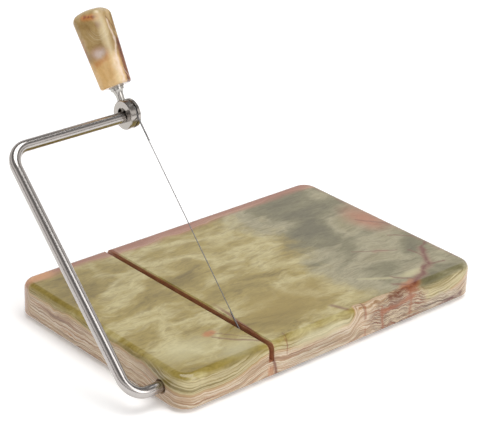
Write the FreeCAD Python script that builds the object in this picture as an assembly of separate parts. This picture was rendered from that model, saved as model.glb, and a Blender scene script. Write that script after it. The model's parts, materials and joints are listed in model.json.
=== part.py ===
"""Cheese wire cutter: stone board, hinged steel bow, taut cutting wire and a screw-down stone handle.

Frame: X along the board (the bow enters the -X end face), -Y is the front edge, +Z up.
The origin is under the middle of the board, level with the underside of the feet. Millimetres.
"""
import math
import os

import FreeCAD
import Part
from FreeCAD import Vector as V

# board
BOARD_L = 200.0
BOARD_W = 130.0
BOARD_T = 18.0
BOARD_CORNER_R = 9.0
BOARD_TOP_R = 4.0
BOARD_BOTTOM_R = 1.5

# rubber feet under the board
FOOT_R = 4.5
FOOT_H = 1.6
FOOT_RIM_R = 0.5
FOOT_X = 86.0
FOOT_Y = 51.0

# saw groove for the wire
GROOVE_X = -44.2
GROOVE_W = 3.3
GROOVE_CHAMFER = 0.6
GROOVE_FLOOR = 8.5
POCKET_FLOOR = 5.2
POCKET_Y = (-57.0, -30.0)

# pivot hole in the end face
PIVOT_Y = -49.0
PIVOT_H = 7.8
PIVOT_HOLE_R = 3.0
PIVOT_HOLE_END_X = -36.0
MOUTH_R = 3.7
MOUTH_DEPTH = 1.2

# bow, bent from one rod, drawn standing at BOW_ANGLE above the board
BOW_ANGLE = 43.9
ROD_R = 2.9
ROD_CHAMFER = 0.5
BEND_R = 10.0
ARM_X = -117.4
BOW_REACH = 131.9
LOWER_END_X = -38.0
UPPER_END_X = -40.6
NECK_R = 1.7
NECK_HALF = 1.1

# clamp collar, pushed off the rod's axis by the clamp screw
COLLAR_R = 7.5
COLLAR_X = (-47.9, -41.8)
COLLAR_EDGE = 0.4
COLLAR_BORE_R = 3.9
COLLAR_OFFSET = 0.98
RIM_GROOVE_W = 1.1
RIM_GROOVE_ROOT_R = 6.7
PIN_R = 0.8
PIN_X = (-46.6, -42.0)
PIN_RHO = 6.0
PIN_BETA = 136.6
SLOT_ROOT = 4.55
SLOT_PAST_PIN = 2.3

# handle line: leaves the collar's centre at HANDLE_ANGLE, all S_ values are measured along it
HANDLE_ANGLE = 56.4
HANDLE_X = -45.5
TAP_R = 2.0
STEM_R = 1.95
S_PAD = (1.96, 3.44)
PAD_R = 1.7
S_TIP = 3.5
S_FLARE = 8.6
S_FLANGE = 12.7
S_WASHER = 14.0
S_BASE = 14.8
S_STUD_END = 34.0
FLARE_R = 2.9
FLARE_SAG = 0.22
FLANGE_R = 3.4
WASHER_R = 3.9
WASHER_EDGE = 0.2
STUD_HOLE_R = 2.0
STUD_HOLE_DEPTH = 20.0
HANDLE_LEN = 40.5
HANDLE_HALF = (7.1, 8.7)
HANDLE_CORNER_R = 4.4
HANDLE_DOME_R = 22.0
HANDLE_TOP_R = 4.0
HANDLE_BASE_R = 1.2
HANDLE_TURN = 29.9

# cutting wire
WIRE_R = 0.25
TWIST_R = 0.48
LOOP_GAP = 0.05
LOWER_LOOP_LEN = 8.0
UPPER_LOOP_LEN = 4.6
TWIST_LEN = 13.0

# slack for picking edges by their place
TINY = 0.01

X_AXIS = V(1, 0, 0)
PIVOT = V(0, PIVOT_Y, PIVOT_H + FOOT_H)


def direction(angle):
    """Unit vector in the YZ plane, angle measured from +Y towards +Z."""
    a = math.radians(angle)
    return V(0, math.cos(a), math.sin(a))


UPPER_AXIS = PIVOT + direction(BOW_ANGLE) * BOW_REACH
COLLAR_C = UPPER_AXIS + direction(HANDLE_ANGLE) * COLLAR_OFFSET
PIN_C = COLLAR_C + direction(PIN_BETA) * PIN_RHO


def cyl(radius, start, end):
    return Part.makeCylinder(radius, (end - start).Length, start, end - start)


def along_x(radius, x0, x1, centre):
    return cyl(radius, V(x0, centre.y, centre.z), V(x1, centre.y, centre.z))


def box(x, y, z):
    return Part.makeBox(x[1] - x[0], y[1] - y[0], z[1] - z[0], V(x[0], y[0], z[0]))


def edges_where(shape, test):
    """Edges whose own bounding box passes the test."""
    return [e for e in shape.Edges if test(e.BoundBox)]


def slab():
    """Board blank with rounded plan corners and rounded top and bottom edges."""
    half_l = BOARD_L / 2
    half_w = BOARD_W / 2
    blank = box((-half_l, half_l), (-half_w, half_w), (FOOT_H, FOOT_H + BOARD_T))
    uprights = edges_where(blank, lambda b: b.ZLength > BOARD_T / 2)
    blank = blank.makeFillet(BOARD_CORNER_R, uprights)
    top = edges_where(blank, lambda b: b.ZMin > FOOT_H + BOARD_T - TINY)
    blank = blank.makeFillet(BOARD_TOP_R, top)
    bottom = edges_where(blank, lambda b: b.ZMax < FOOT_H + TINY)
    return blank.makeFillet(BOARD_BOTTOM_R, bottom)


def groove_cutter():
    """Saw groove right across the board, with eased top edges and a deeper pocket at the wire loop."""
    half = GROOVE_W / 2
    wide = half + GROOVE_CHAMFER
    top = FOOT_H + BOARD_T
    floor = FOOT_H + GROOVE_FLOOR
    y0 = -BOARD_W
    outline = [
        (-half, floor), (-half, top - GROOVE_CHAMFER), (-wide, top), (-wide, top + 1),
        (wide, top + 1), (wide, top), (half, top - GROOVE_CHAMFER), (half, floor), (-half, floor),
    ]
    face = Part.Face(Part.makePolygon([V(GROOVE_X + x, y0, z) for x, z in outline]))
    run = face.extrude(V(0, 2 * BOARD_W, 0))
    pocket = box((GROOVE_X - half, GROOVE_X + half), POCKET_Y, (FOOT_H + POCKET_FLOOR, top))
    return run.fuse(pocket)


def board():
    end = -BOARD_L / 2
    hole = along_x(PIVOT_HOLE_R, end - 1, PIVOT_HOLE_END_X, PIVOT)
    mouth = Part.makeCone(MOUTH_R, PIVOT_HOLE_R, MOUTH_DEPTH, V(end, PIVOT.y, PIVOT.z), X_AXIS)
    return slab().cut(groove_cutter()).cut(hole).cut(mouth)


def feet():
    solids = []
    for sx in (-1, 1):
        for sy in (-1, 1):
            foot = Part.makeCylinder(FOOT_R, FOOT_H, V(sx * FOOT_X, sy * FOOT_Y, 0))
            rim = edges_where(foot, lambda b: b.ZMax < TINY)
            solids.append(foot.makeFillet(FOOT_RIM_R, rim))
    return Part.makeCompound(solids)


def bend(corner, start_dir, end_dir):
    """Quarter bend joining two legs that would meet at the corner."""
    centre = corner + (start_dir + end_dir) * BEND_R
    first = corner + start_dir * BEND_R
    profile = Part.Face(Part.Wire(Part.makeCircle(ROD_R, first, start_dir)))
    return profile.revolve(centre, end_dir.cross(start_dir), 90)


def bow_rod():
    """One bent rod: pivot leg, arm and collar leg, with a neck for the wire loop in the pivot leg."""
    up = direction(BOW_ANGLE)
    low = V(ARM_X, PIVOT.y, PIVOT.z)
    high = low + up * BOW_REACH
    inner_x = ARM_X + BEND_R
    pivot_leg = along_x(ROD_R, inner_x, LOWER_END_X, low)
    collar_leg = along_x(ROD_R, inner_x, UPPER_END_X, high)
    pivot_end = edges_where(pivot_leg, lambda b: b.XMin > LOWER_END_X - TINY)
    pivot_leg = pivot_leg.makeChamfer(ROD_CHAMFER, pivot_end)
    collar_end = edges_where(collar_leg, lambda b: b.XMin > UPPER_END_X - TINY)
    collar_leg = collar_leg.makeChamfer(ROD_CHAMFER, collar_end)
    arm = cyl(ROD_R, low + up * BEND_R, high - up * BEND_R)
    rod = pivot_leg.fuse([bend(low, X_AXIS, up), arm, bend(high, up * -1, X_AXIS), collar_leg])
    neck_x = (GROOVE_X - NECK_HALF, GROOVE_X + NECK_HALF)
    neck = along_x(ROD_R + 1, *neck_x, PIVOT).cut(along_x(NECK_R, *neck_x, PIVOT))
    return rod.cut(neck).removeSplitter()


def collar():
    """Clamp collar: bore, tapped screw hole, rim groove and a saw slot crossed by the wire pin."""
    ring = along_x(COLLAR_R, *COLLAR_X, COLLAR_C)
    ends = edges_where(ring, lambda b: b.XLength < TINY)
    ring = ring.makeChamfer(COLLAR_EDGE, ends)
    ring = ring.cut(along_x(COLLAR_BORE_R, COLLAR_X[0] - 1, COLLAR_X[1] + 1, COLLAR_C))
    groove_x = (GROOVE_X - RIM_GROOVE_W / 2, GROOVE_X + RIM_GROOVE_W / 2)
    rim = along_x(COLLAR_R + 1, *groove_x, COLLAR_C).cut(along_x(RIM_GROOVE_ROOT_R, *groove_x, COLLAR_C))
    out = direction(HANDLE_ANGLE)
    start = V(HANDLE_X, COLLAR_C.y, COLLAR_C.z)
    tap = cyl(TAP_R, start, start + out * (COLLAR_R + 1))
    pin_hole = along_x(PIN_R, PIN_X[0], COLLAR_X[1] + 1, PIN_C)
    return ring.cut([rim, wire_slot(groove_x), tap, pin_hole])


def wire_slot(groove_x):
    """Saw slot along the wire's line, from the rim to just past the wire pin."""
    slot = box(groove_x, (-2 * COLLAR_R, SLOT_PAST_PIN), (SLOT_ROOT - PIN_RHO, COLLAR_R))
    slot.rotate(V(0, 0, 0), X_AXIS, wire_angle())
    slot.translate(V(0, PIN_C.y, PIN_C.z))
    return slot


def wire_pin():
    return along_x(PIN_R, *PIN_X, PIN_C)


def wire_angle():
    """Direction of the taut wire, from the pivot's axis to the wire pin."""
    run = PIN_C - PIVOT
    return math.degrees(math.atan2(run.z, run.y))


def wire_loop(pin_radius, length):
    """Teardrop loop in the YZ plane round a pin at the origin, closing towards +Y."""
    r = pin_radius + LOOP_GAP + WIRE_R
    half = math.acos(r / length)
    touch = V(0, r * math.cos(half), r * math.sin(half))
    mirror = V(0, touch.y, -touch.z)
    tip = V(0, length, 0)
    path = Part.Wire([
        Part.makeLine(tip, touch),
        Part.Arc(touch, V(0, -r, 0), mirror).toShape(),
        Part.makeLine(mirror, tip),
    ])
    profile = Part.Wire(Part.makeCircle(WIRE_R, tip, touch - tip))
    return path.makePipeShell([profile], True, False, 1)


def cutting_wire():
    """Taut wire with a loop and a twisted length at both ends, drawn along +Y and turned into place."""
    span = (PIN_C - PIVOT).Length
    far = span - UPPER_LOOP_LEN
    lower = wire_loop(NECK_R, LOWER_LOOP_LEN)
    upper = wire_loop(PIN_R, UPPER_LOOP_LEN)
    upper.rotate(V(0, 0, 0), X_AXIS, 180)
    upper.translate(V(0, span, 0))
    near_end = LOWER_LOOP_LEN + TWIST_LEN
    far_end = far - TWIST_LEN
    twists = [
        cyl(TWIST_R, V(0, LOWER_LOOP_LEN - TWIST_R, 0), V(0, near_end, 0)),
        cyl(TWIST_R, V(0, far_end, 0), V(0, far + TWIST_R, 0)),
    ]
    middle = cyl(WIRE_R, V(0, near_end - 1, 0), V(0, far_end + 1, 0))
    wire = lower.fuse([upper, middle] + twists)
    wire.rotate(V(0, 0, 0), X_AXIS, wire_angle())
    wire.translate(V(GROOVE_X, PIVOT.y, PIVOT.z))
    return wire


def on_handle_line(shape):
    """Move a shape drawn along +Z onto the handle's line, with its origin at the collar's centre."""
    shape.rotate(V(0, 0, 0), X_AXIS, HANDLE_ANGLE - 90)
    shape.translate(V(HANDLE_X, COLLAR_C.y, COLLAR_C.z))
    return shape


def thrust_pad():
    return on_handle_line(cyl(PAD_R, V(0, 0, S_PAD[0]), V(0, 0, S_PAD[1])))


def stem():
    """Clamp screw turned with the handle's stud: tip, neck, hollow flare, flange and stud."""
    start = V(STEM_R, 0, S_FLARE)
    end = V(FLARE_R, 0, S_FLANGE)
    middle = V(STEM_R + FLARE_SAG * (FLARE_R - STEM_R), 0, (S_FLARE + S_FLANGE) / 2)
    points = [V(0, 0, S_TIP), V(STEM_R, 0, S_TIP), start]
    after = [end, V(FLANGE_R, 0, S_FLANGE), V(FLANGE_R, 0, S_WASHER), V(STEM_R, 0, S_WASHER),
             V(STEM_R, 0, S_STUD_END), V(0, 0, S_STUD_END), V(0, 0, S_TIP)]
    edges = [Part.makePolygon(points), Part.Arc(start, middle, end).toShape(), Part.makePolygon(after)]
    face = Part.Face(Part.Wire(Part.__sortEdges__([e for w in edges for e in w.Edges])))
    return on_handle_line(face.revolve(V(0, 0, 0), V(0, 0, 1), 360))


def washer():
    ring = cyl(WASHER_R, V(0, 0, S_WASHER), V(0, 0, S_BASE))
    ring = ring.makeChamfer(WASHER_EDGE, edges_where(ring, lambda b: b.ZMax < S_WASHER + TINY))
    return on_handle_line(ring.cut(cyl(STUD_HOLE_R, V(0, 0, S_WASHER - 1), V(0, 0, S_BASE + 1))))


def rounded_square(half, height):
    """Closed wire: a square with rounded corners at the given height."""
    r = HANDLE_CORNER_R
    k = r * (1 - math.sqrt(0.5))
    flat = half - r
    edges = []
    for i in range(4):
        turn = FreeCAD.Rotation(V(0, 0, 1), 90 * i)
        a = turn.multVec(V(half, -flat, height))
        b = turn.multVec(V(half, flat, height))
        mid = turn.multVec(V(half - k, half - k, height))
        c = turn.multVec(V(flat, half, height))
        edges += [Part.makeLine(a, b), Part.Arc(b, mid, c).toShape()]
    return Part.Wire(edges)


def handle():
    """Tapered square grip with rounded corners, a domed top and a blind hole for the stud."""
    top = S_BASE + HANDLE_LEN
    ends = [rounded_square(HANDLE_HALF[0], S_BASE), rounded_square(HANDLE_HALF[1], top)]
    dome = Part.makeSphere(HANDLE_DOME_R, V(0, 0, top - HANDLE_DOME_R), X_AXIS)
    grip = Part.makeLoft(ends, True, True).common(dome)
    grip = grip.makeFillet(HANDLE_TOP_R, edges_where(grip, lambda b: b.ZMin > top - HANDLE_HALF[1]))
    grip = grip.makeFillet(HANDLE_BASE_R, edges_where(grip, lambda b: b.ZMax < S_BASE + TINY))
    grip = grip.cut(cyl(STUD_HOLE_R, V(0, 0, S_BASE - 1), V(0, 0, S_BASE + STUD_HOLE_DEPTH)))
    grip.rotate(V(0, 0, 0), V(0, 0, 1), HANDLE_TURN)
    return on_handle_line(grip)


NODES = {
    "board": board,
    "feet": feet,
    "bow_rod": bow_rod,
    "collar": collar,
    "wire_pin": wire_pin,
    "cutting_wire": cutting_wire,
    "thrust_pad": thrust_pad,
    "stem": stem,
    "washer": washer,
    "handle": handle,
}

os.makedirs("parts", exist_ok=True)
for name, build in NODES.items():
    shape = build()
    shape.exportStep(f"parts/{name}.step")
    size = shape.BoundBox
    print(name, "valid", shape.isValid(), "solids", len(shape.Solids), "volume", round(shape.Volume, 1),
          "box", [round(v, 2) for v in (size.XMin, size.XMax, size.YMin, size.YMax, size.ZMin, size.ZMax)])
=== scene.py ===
import json
import math

import bpy
from mathutils import Matrix, Vector


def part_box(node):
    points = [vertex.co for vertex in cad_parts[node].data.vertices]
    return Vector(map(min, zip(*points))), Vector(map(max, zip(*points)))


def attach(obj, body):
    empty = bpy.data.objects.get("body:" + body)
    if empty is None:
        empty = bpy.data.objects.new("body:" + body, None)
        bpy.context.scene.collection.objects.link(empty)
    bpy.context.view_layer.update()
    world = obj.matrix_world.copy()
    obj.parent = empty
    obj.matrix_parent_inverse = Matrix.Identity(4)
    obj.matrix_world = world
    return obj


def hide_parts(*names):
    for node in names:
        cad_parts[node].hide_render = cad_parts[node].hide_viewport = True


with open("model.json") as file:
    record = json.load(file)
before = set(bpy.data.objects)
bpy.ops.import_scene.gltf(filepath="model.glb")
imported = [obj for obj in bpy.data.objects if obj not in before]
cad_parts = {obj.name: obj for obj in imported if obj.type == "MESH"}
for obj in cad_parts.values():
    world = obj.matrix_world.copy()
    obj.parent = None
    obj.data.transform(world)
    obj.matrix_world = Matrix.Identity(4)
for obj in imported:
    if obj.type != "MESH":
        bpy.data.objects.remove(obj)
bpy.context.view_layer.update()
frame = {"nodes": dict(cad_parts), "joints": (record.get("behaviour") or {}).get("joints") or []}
NODES = frame["nodes"]

# The camera is in metres and degrees. Stone patterns are in millimetres, in the part's own frame:
# x along the board, -y its front edge, z up from the table.
MM = 1000.0

# camera solved from the board's outline
CAM_AT = (-0.60595, -0.65353, 0.47260)
CAM_AZ, CAM_EL, CAM_ROLL = -42.734, 25.243, 2.369
CAM_LENS = 140.07
CAM_SENSOR = 36
CAM_CLIP = 0.01

# ends for a band that is open at one side, beyond anything on the part
BELOW_ALL = -300.0
ABOVE_ALL = 300.0

# sawn band of the groove: half its width, its lowest point, its top under the eased edge, and half its length
SAWN_HALF = 1.75
SAWN_LOW = 6.0
SAWN_TOP_GAP = 0.55
SAWN_REACH = 64.6

# turn of the square grip about its own axis, in degrees
GRIP_TURN = 29.9


def camera():
    a, e, r = (math.radians(v) for v in (CAM_AZ, CAM_EL, CAM_ROLL))
    back = Vector((math.sin(a) * math.cos(e), -math.cos(a) * math.cos(e), math.sin(e)))
    right = (-back).cross(Vector((0, 0, 1))).normalized()
    up = right.cross(-back)
    x = right * math.cos(r) + up * math.sin(r)
    y = up * math.cos(r) - right * math.sin(r)
    turn = Matrix((x, y, back)).transposed().to_4x4()
    data = bpy.data.cameras.new("camera")
    data.lens = CAM_LENS
    data.sensor_width = CAM_SENSOR
    data.clip_start = CAM_CLIP
    cam = bpy.data.objects.new("camera", data)
    cam.matrix_world = Matrix.Translation(CAM_AT) @ turn
    bpy.context.collection.objects.link(cam)
    bpy.context.scene.camera = cam


# ---- node helpers -------------------------------------------------------------------------------

class Graph:
    """Short calls for building one material's node tree."""

    def __init__(self, name):
        self.mat = bpy.data.materials.new(name)
        self.mat.use_nodes = True
        self.tree = self.mat.node_tree
        self.bsdf = self.tree.nodes["Principled BSDF"]
        self.place = self.add("ShaderNodeTexCoord").outputs["Object"]

    def add(self, kind, **settings):
        node = self.tree.nodes.new(kind)
        for key, value in settings.items():
            setattr(node, key, value)
        return node

    def link(self, value, socket):
        if isinstance(value, bpy.types.NodeSocket):
            self.tree.links.new(value, socket)
        elif value is not None:
            socket.default_value = value

    def math(self, op, a, b=None, c=None, clamp=False):
        node = self.add("ShaderNodeMath", operation=op, use_clamp=clamp)
        for i, v in enumerate((a, b, c)):
            self.link(v, node.inputs[i])
        return node.outputs[0]

    def times(self, a, *rest):
        for b in rest:
            a = self.math("MULTIPLY", a, b)
        return a

    def vec(self, op, a, b=None):
        node = self.add("ShaderNodeVectorMath", operation=op)
        self.link(a, node.inputs[0])
        self.link(b, node.inputs[1])
        return node.outputs["Value" if op in ("LENGTH", "DOT_PRODUCT", "DISTANCE") else "Vector"]

    def split(self, v):
        node = self.add("ShaderNodeSeparateXYZ")
        self.link(v, node.inputs[0])
        return node.outputs

    def join(self, x, y, z):
        node = self.add("ShaderNodeCombineXYZ")
        for v, s in zip((x, y, z), node.inputs):
            self.link(v, s)
        return node.outputs[0]

    def noise(self, v, scale, detail=3.0, rough=0.5, distortion=0.0):
        node = self.add("ShaderNodeTexNoise")
        self.link(v, node.inputs["Vector"])
        node.inputs["Scale"].default_value = scale
        node.inputs["Detail"].default_value = detail
        node.inputs["Roughness"].default_value = rough
        node.inputs["Distortion"].default_value = distortion
        return node.outputs["Fac"]

    def ramp(self, v, stops):
        """Colour ramp. A stop's value is a linear colour, or one number for grey."""
        node = self.add("ShaderNodeValToRGB")
        points = node.color_ramp.elements
        while len(points) < len(stops):
            points.new(1.0)
        for p, (at, _) in zip(points, stops):
            p.position = at
        for p, (_, colour) in zip(points, stops):
            p.color = (*colour, 1) if isinstance(colour, tuple) else (colour, colour, colour, 1)
        self.link(v, node.inputs[0])
        return node.outputs[0]

    def curve(self, v, points):
        node = self.add("ShaderNodeFloatCurve")
        line = node.mapping.curves[0]
        while len(line.points) < len(points):
            line.points.new(0.5, 0.5)
        for p, (x, y) in zip(line.points, points):
            p.location = (x, y)
        node.mapping.update()
        self.link(v, node.inputs["Value"])
        return node.outputs[0]

    def mix(self, fac, a, b, blend="MIX"):
        node = self.add("ShaderNodeMix", data_type="RGBA", blend_type=blend)
        self.link(fac, node.inputs[0])
        self.link(a if isinstance(a, bpy.types.NodeSocket) else (*a, 1), node.inputs[6])
        self.link(b if isinstance(b, bpy.types.NodeSocket) else (*b, 1), node.inputs[7])
        return node.outputs[2]

    def band(self, v, low, high, soft):
        """1 between low and high, with soft shoulders."""
        up = self.add("ShaderNodeMapRange", interpolation_type="SMOOTHSTEP")
        down = self.add("ShaderNodeMapRange", interpolation_type="SMOOTHSTEP")
        for node, a, b in ((up, low - soft, low + soft), (down, high + soft, high - soft)):
            self.link(v, node.inputs["Value"])
            node.inputs["From Min"].default_value = a
            node.inputs["From Max"].default_value = b
        return self.math("MULTIPLY", up.outputs[0], down.outputs[0])

    def paint(self, amount, mask, under, over):
        """The colour over, laid on the colour under by this much where the mask is 1."""
        return self.mix(self.math("MULTIPLY", mask, amount), under, over)

    def tint(self, mask, under, filter_colour):
        """The colour under, multiplied by the filter where the mask is 1."""
        return self.mix(mask, under, self.mix(1.0, under, filter_colour, "MULTIPLY"))

    def bump(self, height, strength, distance):
        node = self.add("ShaderNodeBump")
        node.inputs["Strength"].default_value = strength
        node.inputs["Distance"].default_value = distance
        self.link(height, node.inputs["Height"])
        self.tree.links.new(node.outputs[0], self.bsdf.inputs["Normal"])

    def surface(self, **values):
        for key, value in values.items():
            self.link(value, self.bsdf.inputs[key.replace("_", " ")])
        return self.mat


def shade(node, mat):
    for s in NODES[node].material_slots:
        s.material = mat


def srgb(r, g, b):
    """8-bit screen colour to linear."""
    return tuple(((v / 255 + 0.055) / 1.055) ** 2.4 if v > 10 else v / 255 / 12.92 for v in (r, g, b))


# ---- stone --------------------------------------------------------------------------------------

GREEN = srgb(158, 140, 72)
OLIVE = srgb(128, 110, 40)
PALE = srgb(192, 180, 130)
GREY_GREEN = srgb(114, 112, 86)
RUST = srgb(112, 58, 36)
ORANGE = srgb(176, 108, 58)
ROSE = srgb(172, 104, 76)
PALE_GREEN = srgb(194, 186, 144)

BOARD_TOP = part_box("board")[1][2] * MM

# Every line of the tables below: start, end, half width, softness of its edge.

# fine cracks on the top
TOP_CRACKS = [
    ((-34.5, -67.0, 0), (-32.5, -59.0, 0), 0.15, 0.45),
    ((-62.0, -42.0, 0), (-55.0, -50.0, 0), 0.5, 0.9),
    ((-55.0, -50.0, 0), (-46.0, -58.5, 0), 0.6, 0.9),
    ((-60.0, -38.0, 0), (-46.0, -55.0, 0), 0.2, 0.6),
    ((6.0, -54.0, 0), (10.0, -61.0, 0), 1.0, 1.5),
    ((19.0, -60.0, 0), (18.0, -67.0, 0), 0.3, 0.6),
    ((56.0, -17.0, 0), (77.0, -30.0, 0), 0.35, 0.8),
    ((86.0, -14.0, 0), (99.5, -26.0, 0), 0.5, 0.9),
    ((99.5, -8.0, 0), (86.0, 10.0, 0), 0.5, 0.9),
    ((97.5, -54.0, 0), (99.5, -18.0, 0), 1.0, 1.1),
]

# rust cracks down the front face
FRONT_CRACKS = [
    ((-34.5, 0, BOARD_TOP), (-34.0, 0, 11.0), 0.15, 0.45),
    ((19.5, 0, BOARD_TOP), (19.0, 0, 12.5), 0.5, 0.6),
    ((19.5, 0, 7.0), (19.5, 0, 1.0), 0.3, 0.9),
    ((30.7, 0, 14.5), (31.7, 0, 2.0), 0.9, 1.0),
    ((52.0, 0, BOARD_TOP), (51.5, 0, 5.0), 0.7, 1.2),
]

# maroon vein round the front right corner
CORNER_VEIN = [
    ((74.0, -65.0, 2.5), (90.0, -64.5, 4.0), 1.2, 1.1),
    ((90.0, -64.5, 4.0), (96.5, -60.5, 7.0), 1.5, 1.1),
    ((96.5, -60.5, 7.0), (98.5, -56.5, 13.0), 1.5, 1.1),
    ((98.5, -56.5, 13.0), (98.5, -53.0, BOARD_TOP), 1.5, 1.1),
]

# soft stain round the vein network
HALO = [
    ((50.0, -63.0, 0), (68.0, -57.0, 0), 2.0, 3.0),
    ((68.0, -57.0, 0), (80.0, -50.0, 0), 1.6, 2.6),
    ((80.0, -50.0, 0), (89.0, -36.0, 0), 1.8, 2.6),
    ((66.0, -24.0, 0), (72.0, -27.0, 0), 1.0, 2.0),
]

# red vein network at the front right
NETWORK = [
    ((38.0, -64.0, 0), (58.0, -62.0, 0), 1.0, 2.2),
    ((56.0, -62.0, 0), (68.0, -57.0, 0), 1.5, 1.8),
    ((68.0, -57.0, 0), (78.0, -51.0, 0), 1.3, 1.4),
    ((78.0, -51.0, 0), (88.0, -54.0, 0), 0.7, 1.2),
    ((78.0, -51.0, 0), (90.0, -36.0, 0), 1.3, 1.4),
    ((90.0, -36.0, 0), (99.5, -30.0, 0), 0.9, 1.2),
    ((84.0, -44.0, 0), (82.0, -34.0, 0), 0.5, 1.1),
    ((60.0, -59.5, 0), (52.0, -50.0, 0), 0.3, 1.1),
    ((47.0, -57.0, 0), (56.0, -62.0, 0), 0.6, 1.6),
]


def millimetres(g, origin=(0.0, 0.0, 0.0)):
    node = g.add("ShaderNodeVectorMath", operation="SCALE")
    g.link(g.vec("SUBTRACT", g.place, origin), node.inputs[0])
    node.inputs["Scale"].default_value = MM
    return node.outputs[0]


def shifted(g, v, amount, scale, detail=3.0):
    """The point moved by up to amount in every direction, so that edges drawn with it wander."""
    node = g.add("ShaderNodeTexNoise")
    g.link(v, node.inputs["Vector"])
    node.inputs["Scale"].default_value = scale
    node.inputs["Detail"].default_value = detail
    push = g.vec("SUBTRACT", node.outputs["Color"], (0.5, 0.5, 0.5))
    return g.vec("ADD", v, g.vec("MULTIPLY", push, (2 * amount, 2 * amount, 2 * amount)))


def blob(g, v, centre, reach, inner=0.35):
    """1 at the centre, 0 at the reach, a distance given for each axis."""
    away = g.vec("LENGTH", g.vec("DIVIDE", g.vec("SUBTRACT", v, centre), reach))
    node = g.add("ShaderNodeMapRange", interpolation_type="SMOOTHSTEP")
    g.link(away, node.inputs["Value"])
    node.inputs["From Min"].default_value = 1.0
    node.inputs["From Max"].default_value = inner
    return node.outputs[0]


def seam(g, v, a, b, width, soft):
    """1 along the straight line from a to b, with soft shoulders."""
    a, b = Vector(a), Vector(b)
    span = b - a
    rel = g.vec("SUBTRACT", v, tuple(a))
    t = g.math("DIVIDE", g.vec("DOT_PRODUCT", rel, tuple(span)), span.length_squared, clamp=True)
    on = g.add("ShaderNodeVectorMath", operation="SCALE")
    on.inputs[0].default_value = span
    g.link(t, on.inputs["Scale"])
    return g.band(g.vec("DISTANCE", rel, on.outputs[0]), BELOW_ALL, width, soft)


def most(g, parts):
    out = parts[0]
    for part in parts[1:]:
        out = g.math("MAXIMUM", out, part)
    return out


def seams(g, v, table):
    """1 along every line of the table: start, end, half width, softness."""
    return most(g, [seam(g, v, a, b, width, soft) for a, b, width, soft in table])


def layers(g, depth, x, y):
    """Thin wavy bands of the onyx, counted along the depth below the green."""
    run = g.join(g.times(x, 0.012), g.times(y, 0.012), depth)
    wide = g.noise(g.vec("MULTIPLY", run, (1.0, 1.0, 0.34)), 1.0, 2, 0.6)
    thin = g.noise(g.vec("MULTIPLY", run, (1.6, 1.6, 1.05)), 1.0, 3, 0.75)
    colour = g.ramp(wide, [(0.34, srgb(132, 100, 74)), (0.42, srgb(178, 138, 92)), (0.49, srgb(160, 144, 114)),
                           (0.56, srgb(190, 168, 130)), (0.66, srgb(162, 114, 72))])
    lines = g.ramp(thin, [(0.34, srgb(92, 62, 48)), (0.43, srgb(156, 120, 92)), (0.50, srgb(184, 158, 126)),
                          (0.57, srgb(230, 218, 198)), (0.65, srgb(168, 114, 70))])
    return g.mix(0.70, colour, lines)


def fold_depth(g, mm, soft_mm):
    """Depth below the fold where the green ends, and a mask of the back edge, where the fold rises."""
    z = g.split(mm)[2]
    wx, wy, _ = g.split(soft_mm)
    fold = g.curve(g.math("MULTIPLY_ADD", wx, 0.005, 0.5),
                   [(0.0, 0.50), (0.06, 0.44), (0.16, 0.46), (0.22, 0.62), (0.27, 0.74), (0.33, 0.66), (0.5, 0.66),
                    (0.62, 0.70), (0.75, 0.58), (0.86, 0.38), (0.92, 0.50), (0.965, 0.78), (1.0, 1.0)])
    left = g.times(g.band(wx, BELOW_ALL, -97.5, 3.5), g.band(wy, -44.0, ABOVE_ALL, 14.0))
    back = g.band(wy, 57.0, ABOVE_ALL, 4.0)
    fold = g.math("MULTIPLY_ADD", left, 0.34, g.math("MULTIPLY_ADD", back, 0.75, fold))
    hump = g.times(g.band(wx, 12.0, 59.0, 4.0), g.band(wy, BELOW_ALL, -60.0, 2.5))
    squash = g.math("MULTIPLY_ADD", hump, 0.48, -1.0)
    depth = g.math("MULTIPLY_ADD", fold, BOARD_TOP, g.times(z, squash))
    depth = g.math("MULTIPLY_ADD", g.math("SUBTRACT", g.noise(mm, 0.10, 3, 0.55), 0.5), 3.4, depth)
    return depth, back


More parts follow.
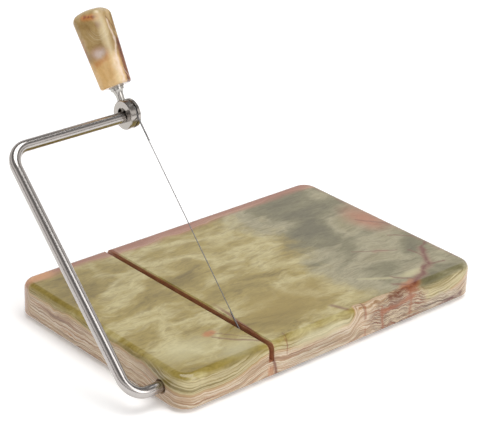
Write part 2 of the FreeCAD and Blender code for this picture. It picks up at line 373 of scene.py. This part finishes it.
def green_stone(g, mm, soft_mm, depth):
    """Olive and pale clouds with flowing lines, greyer towards the right, banded close to the layers."""
    z = g.split(mm)[2]
    wx, wy, _ = g.split(soft_mm)
    flow = g.noise(g.vec("MULTIPLY", soft_mm, (0.8, 1.5, 1.5)), 0.028, 4, 0.50, 0.35)
    green = g.ramp(flow, [(0.34, OLIVE), (0.46, GREEN), (0.56, PALE), (0.68, GREEN)])
    grey = g.ramp(flow, [(0.34, srgb(94, 92, 70)), (0.46, GREY_GREEN), (0.56, srgb(154, 148, 122)),
                         (0.68, srgb(140, 134, 102))])
    border = g.math("MULTIPLY_ADD", g.noise(mm, 0.030, 4, 0.6), 70.0, g.math("SUBTRACT", wx, 35.0))
    rightward = g.times(g.band(border, 33.0, ABOVE_ALL, 10.0), g.band(z, BOARD_TOP - 3.2, ABOVE_ALL, 2.0))
    green = g.paint(0.85, rightward, green, grey)
    streaks = g.noise(g.vec("MULTIPLY", soft_mm, (0.07, 0.30, 0.30)), 1.0, 5, 0.66, 0.5)
    green = g.mix(0.75, green, g.ramp(streaks, [
        (0.36, srgb(202, 196, 180)), (0.46, srgb(238, 236, 230)), (0.51, srgb(255, 255, 255)),
        (0.545, srgb(232, 230, 222)), (0.66, srgb(214, 208, 192))]), "MULTIPLY")
    warm = blob(g, soft_mm, (-8.0, -38.0, BOARD_TOP), (44.0, 24.0, 16.0), 0.2)
    green = g.paint(0.60, warm, green, srgb(146, 124, 50))
    milky = most(g, [
        blob(g, soft_mm, (-80.0, -44.0, BOARD_TOP), (30.0, 15.0, 12.0), 0.1),
        blob(g, soft_mm, (-60.0, -56.0, BOARD_TOP - 2), (22.0, 10.0, 10.0), 0.1),
        blob(g, soft_mm, (66.0, -54.0, BOARD_TOP), (14.0, 5.0, 8.0)),
        seam(g, soft_mm, (38.0, -42.0, BOARD_TOP), (52.0, -52.0, BOARD_TOP), 0.9, 1.4),
        seam(g, soft_mm, (-94.0, -34.0, BOARD_TOP), (-66.0, -52.0, BOARD_TOP), 1.2, 1.8),
    ])
    green = g.paint(0.65, milky, green, PALE_GREEN)
    level = g.join(g.times(wx, 0.012), g.times(wy, 0.012), g.times(depth, 0.7))
    banded = g.noise(level, 1.0, 2, 0.6)
    nearly = g.times(g.band(depth, -9.0, 2.0, 2.5), g.band(z, BELOW_ALL, BOARD_TOP - 2.0, 1.5))
    green = g.paint(0.75, nearly, green, g.ramp(banded, [
        (0.36, srgb(116, 98, 50)), (0.47, srgb(152, 136, 86)), (0.55, srgb(206, 192, 150)),
        (0.65, srgb(136, 118, 68))]))
    return green


def rose_edges(g, mm, soft_mm, back, colour):
    """Rose and brown stone where the fold reaches the top at the back and the right."""
    z = g.split(mm)[2]
    wx = g.split(soft_mm)[0]
    on_level = g.band(z, BOARD_TOP - 1.5, ABOVE_ALL, 1.5)
    rosy = most(g, [back, blob(g, soft_mm, (92.0, 8.0, BOARD_TOP), (16.0, 24.0, 16.0), 0.1)])
    colour = g.mix(g.times(rosy, g.math("MULTIPLY_ADD", on_level, 0.40, 0.35)), colour, ROSE)
    colour = g.mix(g.times(back, g.math("MULTIPLY_ADD", on_level, 0.40, 0.25)), colour, srgb(140, 98, 84))
    colour = g.mix(blob(g, soft_mm, (-90.0, 60.0, BOARD_TOP), (12.0, 7.0, 10.0)), colour, srgb(196, 142, 96))
    colour = g.mix(g.times(g.band(wx, 96.0, ABOVE_ALL, 2.0), 0.4), colour, srgb(150, 108, 90))
    return colour


def broken_patch(g, mm, colour):
    """Broken, crystalline stone with a rust band on the front edge."""
    y = g.split(mm)[1]
    shaken = shifted(g, mm, 3.0, 0.22)
    patch = blob(g, shaken, (43.0, -67.0, 9.5), (25.0, 10.0, 15.0), 0.7)
    bent_x, bent_y, bent_z = g.split(shifted(g, mm, 2.6, 0.16))
    needles = g.noise(g.vec("MULTIPLY", g.join(bent_x, bent_y, g.math("MULTIPLY_ADD", bent_x, 0.12, bent_z)),
                            (0.035, 0.05, 0.85)), 1.0, 3, 0.62)
    broken = g.ramp(needles, [(0.34, srgb(52, 30, 20)), (0.42, srgb(144, 80, 38)), (0.47, srgb(112, 92, 76)),
                              (0.53, srgb(208, 188, 156)), (0.58, srgb(102, 68, 44)), (0.66, srgb(174, 142, 104))])
    colour = g.paint(0.95, patch, colour, broken)
    rust_band = g.times(seam(g, g.join(bent_x, 0.0, bent_z), (31.0, 0, 12.5), (53.0, 0, 14.0), 1.0, 1.2),
                       g.band(y, BELOW_ALL, -60.0, 2.0))
    colour = g.paint(0.8, rust_band, colour, srgb(158, 86, 40))
    low_right = blob(g, shaken, (74.0, -66.0, 4.5), (22.0, 10.0, 6.5), 0.5)
    colour = g.paint(0.8, low_right, colour, g.ramp(needles, [
        (0.38, srgb(62, 46, 38)), (0.45, srgb(140, 120, 100)), (0.54, srgb(204, 190, 168)),
        (0.64, srgb(126, 110, 86))]))
    return colour


def front_and_end(g, mm, soft_mm, colour):
    """Paler green bands right of the groove over darker layers, and a browner left end."""
    x, y, z = g.split(mm)
    pale_front = blob(g, soft_mm, (-11.0, -66.0, 13.2), (26.0, 9.0, 4.8), 0.5)
    colour = g.paint(0.55, pale_front, colour, srgb(204, 197, 160))
    low_front = blob(g, soft_mm, (-8.0, -66.0, 5.5), (32.0, 9.0, 5.5), 0.6)
    colour = g.tint(low_front, colour, srgb(241, 243, 243))
    left_end = g.band(x, BELOW_ALL, -98.8, 1.0)
    end_mid = g.times(left_end, g.band(y, -44.0, -8.0, 6.0))
    colour = g.tint(end_mid, colour, srgb(245, 242, 233))
    end_top = g.times(left_end, g.times(g.band(y, 4.0, 48.0, 5.0), g.band(z, 14.5, 18.5, 1.2)))
    colour = g.tint(end_top, colour, srgb(245, 243, 224))
    return colour


def rust_veins(g, mm, colour):
    """Cracks, the vein network and the rust that runs beside the groove."""
    _, y, z = g.split(mm)
    wander = shifted(g, mm, 1.6, 0.12)
    wander_x, wander_y, wander_z = g.split(wander)
    fuzzy_x, fuzzy_y, _ = g.split(shifted(g, mm, 3.0, 0.12, 5.0))
    on_top = g.join(wander_x, wander_y, 0.0)
    on_top_fuzzy = g.join(fuzzy_x, fuzzy_y, 0.0)
    on_front = g.join(wander_x, 0.0, wander_z)
    upper = g.band(z, BOARD_TOP - 7.0, ABOVE_ALL, 3.0)
    near_front = g.band(y, BELOW_ALL, -62.5, 1.5)
    drift = g.math("MULTIPLY_ADD", y, 0.11, -37.6)
    drift = g.math("MULTIPLY_ADD", g.math("SUBTRACT", BOARD_TOP, z), 0.24, drift)
    off = g.math("ABSOLUTE", g.math("SUBTRACT", g.split(shifted(g, mm, 0.9, 0.12))[0], drift))
    beside_groove = g.times(g.band(off, BELOW_ALL, 0.9, 0.6), g.band(y, BELOW_ALL, -22.0, 12.0))
    top_cracks = seams(g, on_top, TOP_CRACKS)
    front_cracks = seams(g, on_front, FRONT_CRACKS)
    corner_vein = seams(g, wander, CORNER_VEIN)
    halo = seams(g, on_top_fuzzy, HALO)
    network = seams(g, on_top_fuzzy, NETWORK)
    grain = g.ramp(g.noise(mm, 0.34, 3, 0.6), [(0.34, 0.55), (0.50, 1.0)])
    orange_spots = most(g, [
        blob(g, on_top_fuzzy, (54.0, -61.0, 0), (10.0, 5.0, 9.0)),
        blob(g, on_top_fuzzy, (-61.0, -38.0, 0), (6.0, 4.0, 9.0)),
    ])
    colour = g.paint(0.8, g.times(orange_spots, upper), colour, ORANGE)
    colour = g.paint(0.5, g.times(halo, upper), colour, srgb(160, 112, 94))
    network = g.times(network, upper, grain)
    colour = g.paint(0.95, network, colour, srgb(104, 50, 34))
    colour = g.paint(0.8, g.times(top_cracks, upper), colour, srgb(112, 70, 50))
    colour = g.paint(0.8, g.times(front_cracks, near_front), colour, srgb(144, 84, 50))
    colour = g.paint(0.85, g.times(corner_vein, grain), colour, srgb(96, 50, 44))
    colour = g.paint(0.86, beside_groove, colour, RUST)
    return colour


def sawn_groove(g, mm, colour):
    """Stained, unpolished walls of the groove with their mask, their stain painted paler to offset the shade
    inside the groove, and the stain under its open end.
    """
    x, y, z = g.split(mm)
    wander_z = g.split(shifted(g, mm, 1.6, 0.12))[2]
    lo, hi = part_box("cutting_wire")
    from_wire = g.math("ABSOLUTE", g.math("SUBTRACT", x, (lo[0] + hi[0]) / 2 * MM))
    sawn = g.times(g.band(from_wire, BELOW_ALL, SAWN_HALF, 0.05),
                   g.band(z, SAWN_LOW, BOARD_TOP - SAWN_TOP_GAP, 0.3))
    sawn = g.times(sawn, g.band(g.math("ABSOLUTE", y), BELOW_ALL, SAWN_REACH, 0.5))
    wall_stain_and_painted_light = g.noise(g.vec("MULTIPLY", mm, (1.0, 0.25, 2.0)), 0.8, 3, 0.6)
    # partly real rust stain and partly painted light: the walls are painted paler than their stain so that they
    # look lit inside the shaded groove
    colour = g.paint(0.8, sawn, colour, g.ramp(wall_stain_and_painted_light, [
        (0.35, srgb(158, 92, 62)), (0.65, srgb(208, 148, 108))]))
    under_end = g.times(g.band(from_wire, BELOW_ALL, 1.9, 0.7),
                       g.times(g.band(wander_z, BELOW_ALL, SAWN_LOW + 2.5, 1.2), g.band(y, BELOW_ALL, -60.0, 2.0)))
    drip = g.noise(g.vec("MULTIPLY", mm, (1.0, 0.2, 0.16)), 1.3, 3, 0.6)
    colour = g.paint(0.8, under_end, colour, g.ramp(drip, [
        (0.36, srgb(126, 74, 44)), (0.50, srgb(176, 118, 76)), (0.64, srgb(206, 168, 130))]))
    return colour, sawn


def board_stone():
    """Polished green onyx over thin tan layers, which show at the sides and where the fold rises."""
    g = Graph("board_onyx")
    mm = millimetres(g)
    soft_mm = shifted(g, mm, 5.0, 0.035)
    wx, wy, _ = g.split(soft_mm)
    depth, back = fold_depth(g, mm, soft_mm)
    below = g.band(depth, 0.0, ABOVE_ALL, 1.4)
    colour = g.mix(below, green_stone(g, mm, soft_mm, depth), layers(g, depth, wx, wy))
    rim_line = g.band(depth, -0.9, 0.5, 0.6)
    colour = g.paint(0.35, rim_line, colour, srgb(196, 146, 98))
    colour = rose_edges(g, mm, soft_mm, back, colour)
    colour = broken_patch(g, mm, colour)
    colour = front_and_end(g, mm, soft_mm, colour)
    colour = rust_veins(g, mm, colour)
    colour, sawn = sawn_groove(g, mm, colour)

    haze = g.noise(mm, 0.6, 5, 0.6)
    colour = g.mix(1.0, colour, g.ramp(haze, [(0.3, 0.90), (0.7, 1.0)]), "MULTIPLY")
    rough = g.math("MULTIPLY_ADD", sawn, 0.45, g.math("MULTIPLY_ADD", haze, 0.10, 0.09))
    g.bump(g.noise(mm, 0.8, 2), 0.03, 0.0002)
    return g.surface(Base_Color=colour, Roughness=rough, Coat_Weight=0.25, Coat_Roughness=0.05)


# white streak down the grip's second face
GRIP_STREAK = [
    ((0, -2.6, 32.0), (0, -0.4, 23.0), 0.5, 1.2),
    ((0, -0.4, 23.0), (0, -4.4, 13.0), 0.7, 1.3),
    ((0, -4.4, 13.0), (0, -4.4, 1.0), 1.0, 1.6),
    ((0, -1.0, 8.0), (0, 3.0, 3.0), 0.1, 0.8),
]

# dark vein along the far edge of that face
GRIP_DARK = [
    ((0, 4.2, 20.0), (0, 2.8, 1.0), 4.2, 1.8),
    ((0, 6.6, 33.0), (0, 6.2, 15.0), 1.6, 1.6),
    ((0, 3.0, 27.0), (0, -2.0, 34.0), 0.3, 1.0),
]


def handle_stone():
    """Honey onyx grip. u runs across the cloudy face, v across the next face, t up the grip."""
    g = Graph("handle_onyx")
    joint = next(j for j in frame["joints"] if j["name"] == "grip_turn")
    turn = math.radians(GRIP_TURN)
    up = Vector(joint["axis"]).normalized()
    flat_x = Vector((1, 0, 0))
    flat_y = up.cross(flat_x)
    v_axis = flat_x * math.cos(turn) + flat_y * math.sin(turn)
    u_axis = flat_x * math.sin(turn) - flat_y * math.cos(turn)
    lo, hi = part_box("washer")
    seat = tuple((a + b) / 2 for a, b in zip(lo, hi))
    rel = millimetres(g, seat)
    local = g.join(g.vec("DOT_PRODUCT", rel, tuple(u_axis)), g.vec("DOT_PRODUCT", rel, tuple(v_axis)),
                   g.vec("DOT_PRODUCT", rel, tuple(up)))
    soft = shifted(g, local, 1.6, 0.10, 4.0)
    u, v, t = g.split(soft)
    ragged = shifted(g, shifted(g, local, 2.2, 0.09, 2.0), 1.6, 0.36, 5.0)

    flow = g.noise(g.vec("MULTIPLY", soft, (1.0, 1.0, 0.7)), 0.11, 4, 0.6, 0.6)
    honey = g.ramp(flow, [(0.34, srgb(200, 158, 98)), (0.50, srgb(216, 176, 118)), (0.66, srgb(224, 190, 138))])
    olive = g.ramp(flow, [(0.34, srgb(142, 112, 64)), (0.50, srgb(170, 142, 92)), (0.66, srgb(196, 168, 122))])
    colour = g.mix(g.band(t, 15.5, ABOVE_ALL, 3.0), honey, olive)

    # fine growth rings round a centre high on the face
    rings = g.vec("DISTANCE", soft, (4.6, -8.0, 30.0))
    ring_line = g.noise(g.join(rings, 0.0, 0.0), 1.5, 2, 0.6)
    ring_zone = g.times(g.band(rings, 2.5, 7.0, 2.0), g.band(t, BELOW_ALL, 29.0, 2.5))
    colour = g.paint(0.35, ring_zone, colour, g.ramp(ring_line, [
        (0.40, srgb(150, 120, 80)), (0.52, srgb(186, 166, 124)), (0.62, srgb(226, 212, 180))]))

    near_u_face = g.band(v, BELOW_ALL, -3.5, 2.5)
    near_v_face = g.band(u, 3.0, ABOVE_ALL, 2.0)
    rusty_edge = blob(g, soft, (-6.8, -7.0, 22.0), (2.4, 6.0, 9.0), 0.2)
    colour = g.paint(0.55, rusty_edge, colour, srgb(158, 104, 78))
    mauve = blob(g, soft, (0.2, -8.0, 18.2), (6.8, 8.0, 5.0), 0.1)
    colour = g.paint(0.75, mauve, colour, srgb(186, 150, 132))
    cloud = blob(g, ragged, (0.8, -8.0, 17.6), (5.4, 9.0, 3.8), 0.1)
    colour = g.paint(0.8, cloud, colour, srgb(214, 198, 190))
    under = most(g, [
        seam(g, soft, (-3.0, -8.0, 13.4), (3.0, -8.0, 14.0), 0.7, 1.6),
        seam(g, soft, (3.0, -8.0, 14.0), (6.5, -8.0, 17.5), 0.6, 1.8),
    ])
    colour = g.paint(0.75, g.times(under, near_u_face), colour, srgb(192, 110, 66))
    face = g.vec("MULTIPLY", soft, (1.0, 0.0, 1.0))
    orange = g.times(seam(g, face, (-0.6, 0, 36.8), (6.2, 0, 34.8), 1.3, 1.3), near_u_face)
    colour = g.paint(0.85, orange, colour, srgb(200, 124, 60))
    spots = most(g, [
        blob(g, ragged, (0.2, -8.2, 36.6), (1.9, 5.0, 1.3), 0.3),
        blob(g, ragged, (2.6, -8.2, 35.9), (1.5, 5.0, 1.2), 0.3),
        blob(g, ragged, (5.0, -8.2, 35.1), (1.9, 5.0, 1.3), 0.3),
        blob(g, soft, (6.0, -7.6, 31.0), (2.4, 6.0, 2.8), 0.2),
    ])
    colour = g.paint(0.75, spots, colour, srgb(126, 60, 42))

    # the neighbouring face: a white streak that winds down it, and a dark vein along its far edge
    side = g.vec("MULTIPLY", ragged, (0.0, 1.0, 1.0))
    vein = g.noise(g.vec("MULTIPLY", soft, (1.0, 1.0, 0.22)), 0.9, 4, 0.7)
    streak = seams(g, side, GRIP_STREAK)
    dark = seams(g, side, GRIP_DARK)
    colour = g.paint(0.92, g.times(dark, near_v_face), colour, g.ramp(vein, [
        (0.34, srgb(48, 18, 12)), (0.47, srgb(96, 42, 26)), (0.56, srgb(140, 82, 54)), (0.66, srgb(88, 38, 24))]))
    colour = g.paint(0.9, g.times(streak, near_v_face), colour, srgb(238, 218, 202))

    # painted light: paler colour along the thin top edge stands in for light shining through the stone and its
    # glints, and a pale line down the corner between the two faces is a painted highlight
    thin_edge_painted_glow = g.band(t, 38.8, ABOVE_ALL, 2.2)
    corner_painted_highlight = g.times(g.band(u, 5.2, ABOVE_ALL, 1.6), g.band(v, BELOW_ALL, -5.4, 1.6))
    colour = g.mix(g.times(g.math("MAXIMUM", thin_edge_painted_glow, corner_painted_highlight), 0.55), colour, srgb(216, 202, 164))

    haze = g.noise(local, 0.9, 5, 0.6)
    colour = g.mix(1.0, colour, g.ramp(haze, [(0.3, 0.90), (0.7, 1.0)]), "MULTIPLY")
    g.bump(g.noise(local, 0.8, 2), 0.03, 0.0002)
    rough = g.math("MULTIPLY_ADD", haze, 0.08, 0.07)
    return g.surface(Base_Color=colour, Roughness=rough, Specular_IOR_Level=0.5,
                     Coat_Weight=0.15, Coat_Roughness=0.03)


# ---- metal, rubber ------------------------------------------------------------------------------

STREAK_DEPTH = 0.12
RUBBER_DEPTH = 0.2


def darker(base, share):
    return tuple(v * (1 - share) for v in base)


def steel(name, base, rough):
    """Polished stainless steel with fine uneven tone and handling marks."""
    g = Graph(name)
    mm = g.vec("MULTIPLY", g.place, (MM, MM, MM))
    lines = g.noise(mm, 1.4, 4, 0.7)
    marks = g.noise(g.place, 60.0, 3, 0.6)
    tint = g.ramp(lines, [(0.3, darker(base, STREAK_DEPTH)), (0.7, base)])
    r = g.math("ADD", g.math("MULTIPLY_ADD", lines, 0.10, rough - 0.05), g.times(marks, 0.06))
    g.bump(lines, 0.05, 0.0001)
    return g.surface(Base_Color=tint, Metallic=1.0, Roughness=r)


def rubber(name, base, rough, scale):
    g = Graph(name)
    n = g.noise(g.place, scale, 4, 0.6)
    tint = g.ramp(n, [(0.3, darker(base, RUBBER_DEPTH)), (0.7, base)])
    g.bump(n, 0.15, 0.0002)
    return g.surface(Base_Color=tint, Roughness=g.math("MULTIPLY_ADD", n, 0.15, rough - 0.08))


# ---- cutting wire -------------------------------------------------------------------------------

# in metres: the strand's radius, its distance from the twist's middle, the twist's length, and the slack on a pin
WIRE_R = 0.00024
STRAND_OFF = 0.00024
TWIST_LEN = 0.013
LOOP_GAP = 0.00005
TWIST_TURNS = 7
STEPS_PER_TURN = 12
LOOP_STEPS = 20

# loop length, and radius of what the loop goes round, at the rod's neck and at the collar's pin
LOWER_LOOP = (0.008, 0.0017)
UPPER_LOOP = (0.0046, 0.0008)


def wire_line():
    """Pivot end and collar end of the taut wire, both in the wire's own plane."""
    lo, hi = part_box("cutting_wire")
    pin_lo, pin_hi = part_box("wire_pin")
    x = (lo[0] + hi[0]) / 2
    joint = next(j for j in frame["joints"] if j["name"] == "bow_pivot")
    start = Vector((x, joint["pos_m"][1], joint["pos_m"][2]))
    end = Vector((x, (pin_lo[1] + pin_hi[1]) / 2, (pin_lo[2] + pin_hi[2]) / 2))
    return start, end


def end_path(pin, along, loop_len, pin_r):
    """Points of one end: twist towards the loop, round the pin, and back as the other strand."""
    flat = Vector((1, 0, 0))
    side = flat.cross(along)
    r = pin_r + LOOP_GAP + WIRE_R
    half = math.acos(r / loop_len)
    steps = TWIST_TURNS * STEPS_PER_TURN

    def strand(phase):
        out = []
        for i in range(steps + 1):
            a = phase + 2 * math.pi * TWIST_TURNS * i / steps
            d = loop_len + TWIST_LEN * i / steps
            out.append(pin + along * d + (side * math.cos(a) + flat * math.sin(a)) * STRAND_OFF)
        return out

    loop = [pin + (along * math.cos(a) + side * math.sin(a)) * r
            for a in (half + (2 * math.pi - 2 * half) * i / LOOP_STEPS for i in range(LOOP_STEPS + 1))]
    return list(reversed(strand(0.0))) + loop + strand(math.pi)


def cutting_wire():
    start, end = wire_line()
    along = (end - start).normalized()
    lower = end_path(start, along, *LOWER_LOOP)
    upper = end_path(end, -along, *UPPER_LOOP)
    points = list(reversed(lower)) + upper
    data = bpy.data.curves.new("wire_strand", "CURVE")
    data.dimensions = "3D"
    data.bevel_depth = WIRE_R
    data.bevel_resolution = 3
    data.use_fill_caps = True
    line = data.splines.new("POLY")
    line.points.add(len(points) - 1)
    for p, co in zip(line.points, points):
        p.co = (*co, 1)
    wire = bpy.data.objects.new("wire_strand", data)
    bpy.context.collection.objects.link(wire)
    data.materials.append(steel("wire_steel_look", (0.26, 0.25, 0.25), 0.30))
    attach(wire, "bow")
    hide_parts("cutting_wire")


# ---- stage --------------------------------------------------------------------------------------

# brightness of the surroundings against the height of the view, white in the middle and darker above
SKY = [(0.0, 0.40), (0.08, 0.24), (0.18, 0.80), (0.30, 1.0), (0.50, 1.0), (0.58, 0.30), (0.70, 0.20),
       (1.0, 0.26)]
SKY_TINT = (0.97, 0.95)
SKY_POWER = 0.9
SUN_POWER = 1.95
SUN_AIM = (-0.10, 0.05, -1.0)
SUN_ANGLE = 48
FILL_AT = (0.14, -0.85, 0.60)
FILL_SIZE = (0.50, 1.00)
FILL_POWER = 3.2
FILL_AIM = (0, 0, 0.04)
FLOOR_HALF = 6.0
FLOOR_GLOW = 0.20


def lamp(name, data, aim):
    """A lamp object that shines along aim."""
    thing = bpy.data.objects.new(name, data)
    thing.rotation_euler = Vector(aim).to_track_quat("-Z", "Y").to_euler()
    bpy.context.collection.objects.link(thing)
    return thing


def lights():
    fill = bpy.data.lights.new("fill", "AREA")
    fill.shape = "RECTANGLE"
    fill.size, fill.size_y = FILL_SIZE
    fill.energy = FILL_POWER
    lamp("fill", fill, Vector(FILL_AIM) - Vector(FILL_AT)).location = FILL_AT
    sun = bpy.data.lights.new("sun", "SUN")
    sun.energy = SUN_POWER
    sun.angle = math.radians(SUN_ANGLE)
    lamp("sun", sun, SUN_AIM)


def studio():
    mesh = bpy.data.meshes.new("floor")
    s = FLOOR_HALF
    mesh.from_pydata([(-s, -s, 0), (s, -s, 0), (s, s, 0), (-s, s, 0)], [], [(0, 1, 2, 3)])
    floor = bpy.data.objects.new("floor", mesh)
    bpy.context.collection.objects.link(floor)
    g = Graph("floor_paper")
    n = g.noise(g.place, 8.0, 3)
    floor.data.materials.append(g.surface(
        Base_Color=g.ramp(n, [(0.3, (0.90, 0.90, 0.90)), (0.7, (0.92, 0.92, 0.92))]), Roughness=0.9,
        Emission_Color=(1.0, 1.0, 1.0, 1.0), Emission_Strength=FLOOR_GLOW))

    world = bpy.data.worlds.new("studio")
    bpy.context.scene.world = world
    world.use_nodes = True
    tree = world.node_tree
    place = tree.nodes.new("ShaderNodeTexCoord")
    split = tree.nodes.new("ShaderNodeSeparateXYZ")
    ramp = tree.nodes.new("ShaderNodeValToRGB")
    tree.links.new(place.outputs["Generated"], split.inputs[0])
    tree.links.new(split.outputs["Z"], ramp.inputs[0])
    tree.links.new(ramp.outputs[0], tree.nodes["Background"].inputs["Color"])
    while len(ramp.color_ramp.elements) < len(SKY):
        ramp.color_ramp.elements.new(1.0)
    for p, (at, v) in zip(ramp.color_ramp.elements, SKY):
        p.position = at
        p.color = (v, v * SKY_TINT[0], v * SKY_TINT[1], 1)
    tree.nodes["Background"].inputs["Strength"].default_value = SKY_POWER
    bpy.context.scene.view_settings.view_transform = "Standard"
    lights()


camera()
studio()
shade("board", board_stone())
shade("handle", handle_stone())
shade("feet", rubber("feet_rubber_look", (0.03, 0.03, 0.03), 0.75, 300.0))
shade("thrust_pad", steel("pad_steel_look", (0.20, 0.18, 0.16), 0.35))
shade("bow_rod", steel("rod_steel_look", (0.52, 0.49, 0.47), 0.17))
shade("collar", steel("collar_steel_look", (0.47, 0.44, 0.41), 0.17))
shade("wire_pin", steel("pin_steel_look", (0.6, 0.6, 0.58), 0.25))
shade("stem", steel("stem_steel_look", (0.50, 0.48, 0.45), 0.15))
shade("washer", steel("washer_steel_look", (0.48, 0.46, 0.43), 0.2))
cutting_wire()
